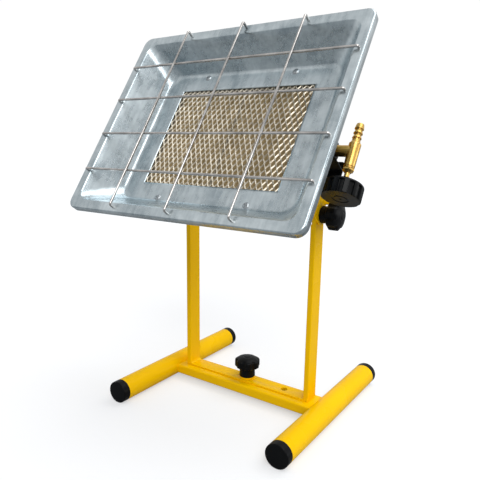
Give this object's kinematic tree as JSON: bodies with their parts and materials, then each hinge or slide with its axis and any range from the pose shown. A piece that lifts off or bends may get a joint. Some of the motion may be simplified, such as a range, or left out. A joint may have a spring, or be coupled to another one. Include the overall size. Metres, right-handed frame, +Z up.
{
  "type": "portable gas heater",
  "caption": "Tilting infrared gas heater: a zinc reflector with a wire guard and ceramic burner on a yellow yoke and a two-footed stand, with a brass valve and hose tail.",
  "frame": {"origin": "on the floor midway between the two feet, on the axis that the yoke turns about", "axes": "+Z up, -Y the way the reflector faces, +X the side of the gas valve and the tilt knob"},
  "size_m": [0.3194, 0.2882, 0.4656],
  "materials": {
    "yellow_paint": "gloss",
    "zinc_sheet": "satin",
    "plain_steel": "satin",
    "heated_steel": "matte",
    "black_plastic": "satin",
    "black_paint": "satin",
    "ceramic": "matte",
    "brass": "satin"
  },
  "bodies": {
    "base": {"left_foot_tube": "yellow_paint", "right_foot_tube": "yellow_paint", "left_foot_caps": "black_plastic", "right_foot_caps": "black_plastic", "crossbar": "yellow_paint", "swivel_nut": "plain_steel"},
    "base_clamp": {"base_knob": "black_plastic", "base_knob_stud": "plain_steel", "base_knob_washer": "plain_steel"},
    "yoke": {"yoke_strap": "yellow_paint", "left_upright": "yellow_paint", "right_upright": "yellow_paint", "left_tongue": "yellow_paint", "right_tongue": "yellow_paint", "tilt_nut": "plain_steel", "pivot_bolt": "plain_steel", "pivot_nut": "plain_steel"},
    "tilt_clamp": {"tilt_knob": "black_plastic", "tilt_knob_stud": "plain_steel"},
    "head": {"reflector_pan": "zinc_sheet", "guard_upright_wires": "plain_steel", "guard_cross_wires": "plain_steel", "floor_screws": "plain_steel", "burner_mesh": "heated_steel", "mesh_frame": "zinc_sheet", "left_plaque": "ceramic", "right_plaque": "ceramic", "plaque_gasket": "ceramic", "burner_box": "zinc_sheet", "burner_tabs": "zinc_sheet", "mixing_tube": "plain_steel", "injector": "brass", "left_ear": "yellow_paint", "right_ear": "yellow_paint", "ear_screws": "plain_steel", "valve_bracket": "black_paint", "bracket_screws": "plain_steel", "inlet_nut": "black_paint", "valve_body": "brass", "hose_tail": "brass", "gland_nut": "brass"},
    "gas_control": {"valve_stem": "brass", "control_knob": "black_plastic"}
  },
  "joints": [
    {"name": "base_knob_turn", "type": "hinge", "parent": "base", "child": "base_clamp", "pos_m": [0, 0, 0.0247], "axis": [0, 0, 1], "range_deg": [0, 360]},
    {"name": "yoke_swivel", "type": "hinge", "parent": "base", "child": "yoke", "pos_m": [0, 0, 0.0194], "axis": [0, 0, 1], "continuous": true},
    {"name": "tilt_knob_turn", "type": "hinge", "parent": "yoke", "child": "tilt_clamp", "pos_m": [0.11, 0, 0.2535], "axis": [1, 0, 0], "range_deg": [0, 360]},
    {"name": "head_tilt", "type": "hinge", "parent": "yoke", "child": "head", "pos_m": [0, 0, 0.2535], "axis": [1, 0, 0], "range_deg": [-55, 34]},
    {"name": "control_knob_turn", "type": "hinge", "parent": "head", "child": "gas_control", "pos_m": [0.14305, -0.02629, 0.32655], "axis": [0, -0.4939, -0.8695], "range_deg": [0, 270]}
  ]
}
